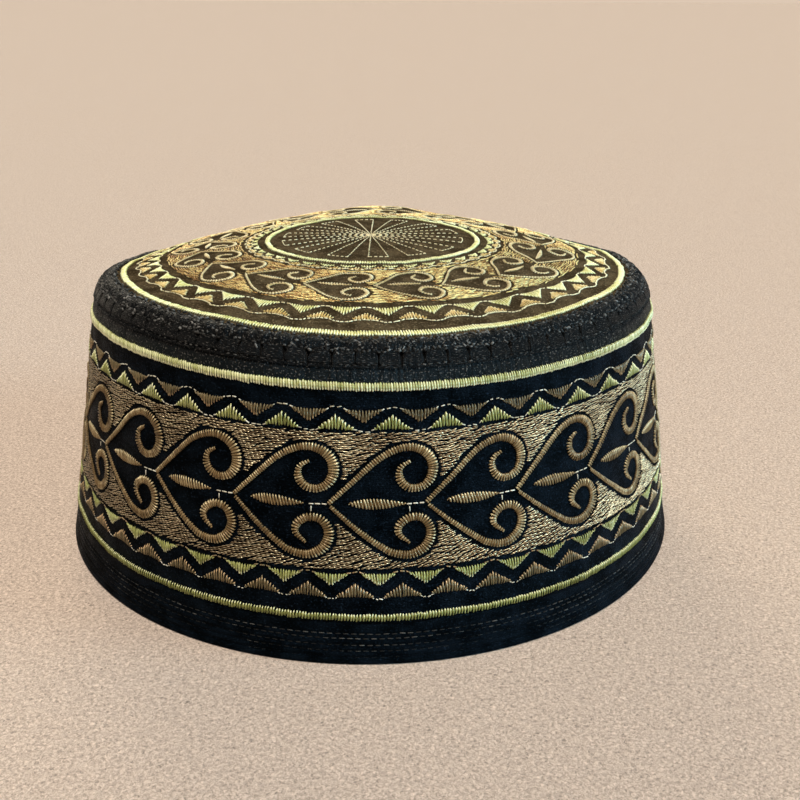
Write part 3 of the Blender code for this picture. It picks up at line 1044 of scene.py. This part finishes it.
def place_welt(angle, up):
    lumps = 1.0 + 0.25 * np.sin(1.9 * angle + 3.0 * np.sin(0.31 * angle))
    swell = WELT_SWELL * lumps * np.sin(np.pi * up) ** 0.7
    return on_cap(angle, up_the_welt(angle, up), swell - WELT_SUNK)


welt = wrapped_grid("welt_cloth", 720, 10, place_welt, WELT_SIZE, WELT_THICKNESS, lit_pleated_satin)
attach(welt, "root")
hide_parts("seam_welt")

WELT_ROWS, WELT_STITCHES = 11, 400
WELT_SLANT = 0.6  # in degrees, from a stitch's start to its end
random = np.random.default_rng(71)
overcast = []
for up in np.linspace(0.06, 0.97, WELT_ROWS):
    angles = np.linspace(-180.0, 180.0, WELT_STITCHES, endpoint=False)
    angles += random.normal(0.0, 0.2, WELT_STITCHES)
    start = up_the_welt(angles, up) + random.normal(0.0, 0.12, WELT_STITCHES)
    finish = start + random.normal(0.0, 0.4, WELT_STITCHES)
    loft = random.uniform(0.3, 1.1, WELT_STITCHES)
    overcast.append(np.stack((angles, start, angles + WELT_SLANT, finish, loft), axis=1))
rows = np.concatenate(overcast)
sew("welt_overcasting", rows, 0.52, 0.5, *black, 72, depth=0.5, even=0.0, shine=1.3)

# The crown
# A round of satin, stiffened by its backing and its embroidery into a shallow dome. Its edge is
# caught in the welt.

# The crown satin's brown is partly its own colour and partly a painted reflection of the warm back light on
# the satin; it is given no gloss of its own.
crown_satin = satin_cloth(
    "crown satin",
    dark=(0.034, 0.0240, 0.0130),
    light=(0.092, 0.068, 0.038),
    coordinates="Object",
    pitch=1200.0,
    glints=2.2,
    relief=0.8,
    gloss=0.0,
    sheen=(1.0, 0.88, 0.7),
)
CROWN_FOOT = 11.2
CROWN_THICKNESS = 2.0
CROWN_TURN_IN = 0.5
CROWN_SIZE = (460.0, 76.0)
CROWN_SPREAD = 2.3
DISC_RADIUS = 31.6


def place_crown(angle, up):
    length = CROWN_FOOT + (lengths[-1] - CROWN_FOOT) * up
    return on_cap(angle, length, -turned_in(length - CROWN_FOOT, CROWN_TURN_IN))


crown_cloth = wrapped_grid("crown_cloth", 240, 48, place_crown, CROWN_SIZE, CROWN_THICKNESS, crown_satin)
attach(crown_cloth, "root")
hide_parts("crown")


def spread_out(rows):
    """The crown's embroidery, drawn outwards a little at the two sides, but not at its edge or round
    its disc."""
    rows = rows.copy()
    ring, disc = crown(CROWN_RING[0]), crown(DISC_RADIUS)
    share = np.clip((rows[:, [1, 3]] - ring) / (disc - ring), 0.0, 1.0)
    rows[:, [1, 3]] -= CROWN_SPREAD * np.sin(np.radians(rows[:, [0, 2]])) ** 2 * np.sin(np.pi * share)
    return rows


pale_gold = thread_material(
    "pale gold thread",
    [(0.0, (0.09, 0.05, 0.015)), (0.4, (0.60, 0.44, 0.18)), (0.9, (1.0, 0.94, 0.64))],
    metallic=0.1,
    body=0.85,
    highlight=0.5,
)
crown_yellow = thread_material(
    "crown yellow thread",
    [(0.0, (0.05, 0.045, 0.008)), (0.4, (0.56, 0.54, 0.13)), (0.85, (1.0, 0.99, 0.60))],
    highlight=0.7,
)
fan_gold = thread_material(
    "crown fan thread",
    [(0.0, (0.08, 0.035, 0.006)), (0.4, (0.62, 0.40, 0.09)), (0.85, (1.0, 0.93, 0.56))],
    metallic=0.1,
    body=0.85,
    highlight=0.5,
)
rows = satin_ring(crown(73.4), -2.8, 0.7, 81, at_edge=True)
rows = np.concatenate((rows, satin_ring(crown(31.4), -1.6, 0.7, 82)))
sew("crown_rings", rows, 0.46, 0.42, crown_yellow, "yellow_green_thread", 83, depth=0.36)

# The crown's zigzags
# The same two rows of facing triangles run round the crown outside the hearts, and a finer pair
# inside them, each edged with cream running stitch.

CROWN_TEETH = 40
CROWN_FIRST = 6.0
CROWN_DRIFT = [
    (-110.0, 8.5),
    (-84.0, 5.5),
    (-66.0, 2.2),
    (-48.0, -0.2),
    (-30.0, -2.1),
    (-20.0, -2.2),
    (-3.0, -1.4),
    (6.0, -0.4),
    (15.0, 0.9),
    (42.0, 2.1),
    (55.0, 2.1),
    (90.0, 1.5),
    (135.0, 4.0),
    (180.0, 7.0),
]
OUTER_GREEN = dict(base=61.4, apex=65.7, base_width=6.4, edge_width=6.0, legs=11)
OUTER_PALE = dict(base=67.6, apex=63.8, base_width=5.6, edge_width=6.2, legs=10)
INNER_GREEN = dict(base=34.0, apex=35.9, base_width=3.6, edge_width=3.2, legs=6)
INNER_PALE = dict(base=36.8, apex=34.9, base_width=3.6, edge_width=4.2, legs=6)
OUTER_CREST = [(-4.5, 67.6), (-2.5, 67.9), (-1.0, 68.9), (1.0, 68.9), (2.5, 67.9), (4.5, 67.6)]
OUTER_VALLEY = [(-1.9, 62.2), (-0.9, 61.2), (0.9, 61.2), (1.9, 62.2)]
INNER_CREST = [(-4.5, 36.3), (-1.5, 37.2), (1.5, 37.2), (4.5, 36.3)]
green_rows, pale_rows, cream_rows = [], [], []
for tooth in range(CROWN_TEETH):
    crest = CROWN_FIRST + tooth * 360.0 / CROWN_TEETH
    valley = crest + 180.0 / CROWN_TEETH
    green_rows += [triangle(crest, crown, **OUTER_GREEN), triangle(valley, crown, **INNER_GREEN)]
    pale_rows += [triangle(valley, crown, **OUTER_PALE), triangle(crest, crown, **INNER_PALE)]
    cream_rows.append(outline(crest, crown, OUTER_CREST, 0.9, 0.12))
    cream_rows.append(outline(valley, crown, OUTER_VALLEY, 0.9, 0.3))
    cream_rows.append(outline(crest, crown, INNER_CREST, 0.9, 0.4))
green_rows, pale_rows, cream_rows = (
    spread_out(drawn(np.concatenate(rows), CROWN_DRIFT)) for rows in (green_rows, pale_rows, cream_rows)
)
sew("crown_green_triangles", green_rows, 0.38, 0.28, crown_yellow, "yellow_green_thread", 84)
sew("crown_pale_triangles", pale_rows, 0.36, 0.28, fan_gold, "cream_thread", 85, even=0.3)
sew("crown_cream_outlines", cream_rows, 0.46, 0.2, pale_gold, "cream_thread", 86, jitter=0.08, shine=1.6)

# The crown's heart chain
# A finer heart chain runs round the crown, in pale gold satin stitch on a field of gold stitches. Each
# heart has a leaf, as on the side, but no link to the next.

CROWN_HEARTS = 17
CROWN_TIP_ANGLE = 3.2
CROWN_TIP_LEVEL = crown(48.9)
CROWN_DEGREE = 0.855  # mm along the chain for each degree
CROWN_OUTER_ARM = [
    (0.0, 0.0, 0.45),
    (4.0, -3.3, 0.5),
    (8.3, -7.0, 0.6),
    (11.4, -8.6, 0.8),
    (14.3, -7.7, 1.0),
    (16.3, -4.6, 1.2),
    (15.2, -1.9, 1.2),
    (12.6, -1.3, 1.1),
    (10.5, -3.5, 1.0),
    (11.2, -5.4, 0.7),
    (12.7, -6.0, 0.6),
]
CROWN_INNER_ARM = [
    (0.0, 0.0, 0.45),
    (3.6, 4.1, 0.5),
    (7.4, 7.9, 0.6),
    (12.2, 9.2, 0.9),
    (16.4, 8.0, 1.1),
    (17.2, 4.9, 1.2),
    (14.4, 2.8, 1.1),
    (11.8, 3.6, 1.0),
    (10.9, 5.4, 0.8),
    (12.6, 6.9, 0.6),
]
CROWN_CHAIN = (CROWN_HEARTS, CROWN_TIP_ANGLE, CROWN_TIP_LEVEL, CROWN_DEGREE)
CROWN_LEAF = dict(begin=3.4, end=12.0, level=1.1, half_height=0.7, lean=0.2, step=0.7)
CROWN_SCROLL_PITCH = 0.70
CROWN_CHAIN_DRIFT = [
    (-103.0, 8.5),
    (-81.0, 5.5),
    (-60.0, 2.4),
    (-45.0, 0.3),
    (-30.0, -0.8),
    (-15.0, -1.2),
    (0.0, -0.6),
    (15.0, 0.4),
    (66.0, 0.2),
    (88.0, 3.0),
    (109.0, 5.0),
    (180.0, 7.0),
]


def crown_chained(rows):
    """One crown heart's stitches at every heart."""
    return spread_out(drawn(round_chain(rows, *CROWN_CHAIN), CROWN_CHAIN_DRIFT))


for name, arm, seed in (("outer", CROWN_OUTER_ARM, 91), ("inner", CROWN_INNER_ARM, 92)):
    edges = arm_edges(arm, CROWN_SCROLL_PITCH, name == "outer")
    rows = crown_chained(satin(*edges, back_loft=0.6))
    sew(f"crown_{name}_scrolls", rows, 0.40, 0.30, pale_gold, "gold_thread", seed, even=0.35)

rows = crown_chained(satin(*leaf_edges(**CROWN_LEAF)))
sew("crown_leaves", rows, 0.40, 0.24, pale_gold, "gold_thread", 93)

crown_field_gold = thread_material(
    "crown field thread",
    [(0.22, (0.03, 0.009, 0.001)), (0.45, (0.52, 0.21, 0.02)), (0.72, (1.0, 0.86, 0.38))],
    metallic=0.45,
    turns=1.6,
    sparkle=0.35,
    body=1.15,
)
crown_field = field_cell(
    arms=(CROWN_INNER_ARM, CROWN_OUTER_ARM),
    pitch=360.0 / CROWN_HEARTS * CROWN_DEGREE,
    levels=(crown(58.8) - CROWN_TIP_LEVEL, crown(38.2) - CROWN_TIP_LEVEL),
    climbs=(0, 0),
    margin=0.78,
    off_chain=0.5,
    row_pitch=0.62,
    stitches=11,
)
FIELD_SHADE_FACES, FIELD_SHADE_BREADTH, FIELD_SHADE_LOSS = -50.0, 35.0, 0.28  # where painted shade darkens the crown's field, on the side that less light falls on
rows = crown_chained(crown_field)
rows[:, 4] -= FIELD_SHADE_LOSS * facing(rows[:, 0], FIELD_SHADE_FACES, FIELD_SHADE_BREADTH)
sew("crown_field", rows, 0.38, 0.24, crown_field_gold, "gold_thread", 95, jitter=0.14, even=0.05)

# The crown's disc
# Rays of running stitch cross the plain satin in the middle. They start in a knot of stitches at the
# centre, and pairs of them are joined at their outer ends.

RAYS = 28
RAY_INNER, RAY_OUTER = 0.7, 25.8
RAY_SPREAD = 1.3  # how much longer the rays at the two sides are
RAY_POINTS = 13
ray_rows = []
for ray in range(RAYS):
    angle = ray * 360.0 / RAYS
    outer = RAY_OUTER + RAY_SPREAD * np.sin(np.radians(angle)) ** 2
    spoke = [(angle, crown(radius)) for radius in np.linspace(RAY_INNER, outer, RAY_POINTS)]
    ray_rows.append(running(spoke, 1.0, 0.75))
    if ray % 2 == 0:
        chord = [(angle, crown(outer)), (angle + 360.0 / RAYS, crown(outer))]
        ray_rows.append(running(chord, 0.9, 0.5))
rows = np.concatenate(ray_rows)
sew("crown_rays", rows, 0.38, 0.20, pale_gold, "cream_thread", 96, depth=0.28, shine=1.2)

# Each piece of cloth was cut flat, the crown as a round and the others as strips, and then folded,
# stretched or gathered to its shape as it was sewn.

# The floor
# A plain pale floor with a fine felt-like grain, wide enough to reach the horizon. The cap stands on
# it by its hem.

FLOOR_SIZE = (400.0, 400.0, 1.0)
bpy.ops.object.select_all(action="DESELECT")
bpy.ops.mesh.primitive_plane_add(size=1.0)
floor = bpy.context.active_object
floor.name = "floor"
bpy.ops.object.mode_set(mode="EDIT")
bpy.ops.transform.resize(value=FLOOR_SIZE)
bpy.ops.object.mode_set(mode="OBJECT")
material, tree, shader = new_material("pale floor")
place = node(tree, "TexCoord").outputs["Object"]
grain = texture(tree, "Noise", place, Scale=1300.0, Detail=3.0, Roughness=0.8, Distortion=0.8)
light_grain = mapped(tree, grain, From_Min=0.28, From_Max=0.72)
colour = mixed(tree, "RGBA", light_grain, (0.17, 0.140, 0.118, 1.0), (0.71, 0.57, 0.475, 1.0))
bump = node(tree, "Bump", Strength=0.35, Distance=0.0005, Height=grain)
fit(tree, shader, Base_Color=colour, Normal=bump.outputs["Normal"], Roughness=0.9, Specular_IOR_Level=0.0)
floor.data.materials.append(material)

# The light
# Soft studio light: a warm one high in front, a warm one behind that brings out the crown, a cooler
# one from the right, and a pale room round it all.

SOFT_LIGHTS = table(
    ("name", "towards", "strength", "spread", "colour"),
    ("overhead light", (0.15, -0.30, 1.0), 3.7, 16.0, (1.0, 0.93, 0.82)),
    ("back light", (-0.25, 1.0, 0.62), 1.4, 25.0, (1.0, 0.87, 0.66)),
    ("right light", (1.0, -0.12, 0.06), 6.0, 30.0, (0.42, 0.78, 1.0)),
)
for light in SOFT_LIGHTS:
    lamp = bpy.data.objects.new(light["name"], bpy.data.lights.new(light["name"], "SUN"))
    lamp.data.energy = light["strength"]
    lamp.data.angle = np.radians(light["spread"])
    lamp.data.color = light["colour"]
    lamp.rotation_euler = Vector(light["towards"]).to_track_quat("Z", "Y").to_euler()
    bpy.context.scene.collection.objects.link(lamp)

ROOM_LIGHT, ROOM_SEEN = (0.168, 0.18, 0.2, 1.0), (0.72, 0.575, 0.45, 1.0)
world = bpy.data.worlds.new("pale room")
world.use_nodes = True
tree = world.node_tree
seen = node(tree, "LightPath").outputs["Is Camera Ray"]
fit(tree, tree.nodes["Background"], Color=mixed(tree, "RGBA", seen, ROOM_LIGHT, ROOM_SEEN))
bpy.context.scene.world = world
bpy.context.scene.view_settings.view_transform = "Standard"

# The camera
# It stands in front of the cap and looks down on it, where the photographer held it. Its place, dip
# and roll, and its focal length, were fitted to the cap's rings.

PICTURE_WIDTH = 800.0
FOCAL_LENGTH = 1018.0  # in the picture's pixels
CAMERA_PLACE = (0.00907, -0.3053, 0.1531)
CAMERA_DIP, CAMERA_ROLL = 0.3741, 0.005
camera = bpy.data.objects.new("camera", bpy.data.cameras.new("camera"))
camera.data.sensor_width = 36.0
camera.data.lens = camera.data.sensor_width * FOCAL_LENGTH / PICTURE_WIDTH
camera.data.clip_start = 0.01
camera.matrix_world = (
    Matrix.Translation(CAMERA_PLACE)
    @ Matrix.Rotation(np.pi / 2 - CAMERA_DIP, 4, "X")
    @ Matrix.Rotation(CAMERA_ROLL, 4, "Z")
)
bpy.context.scene.collection.objects.link(camera)
bpy.context.scene.camera = camera
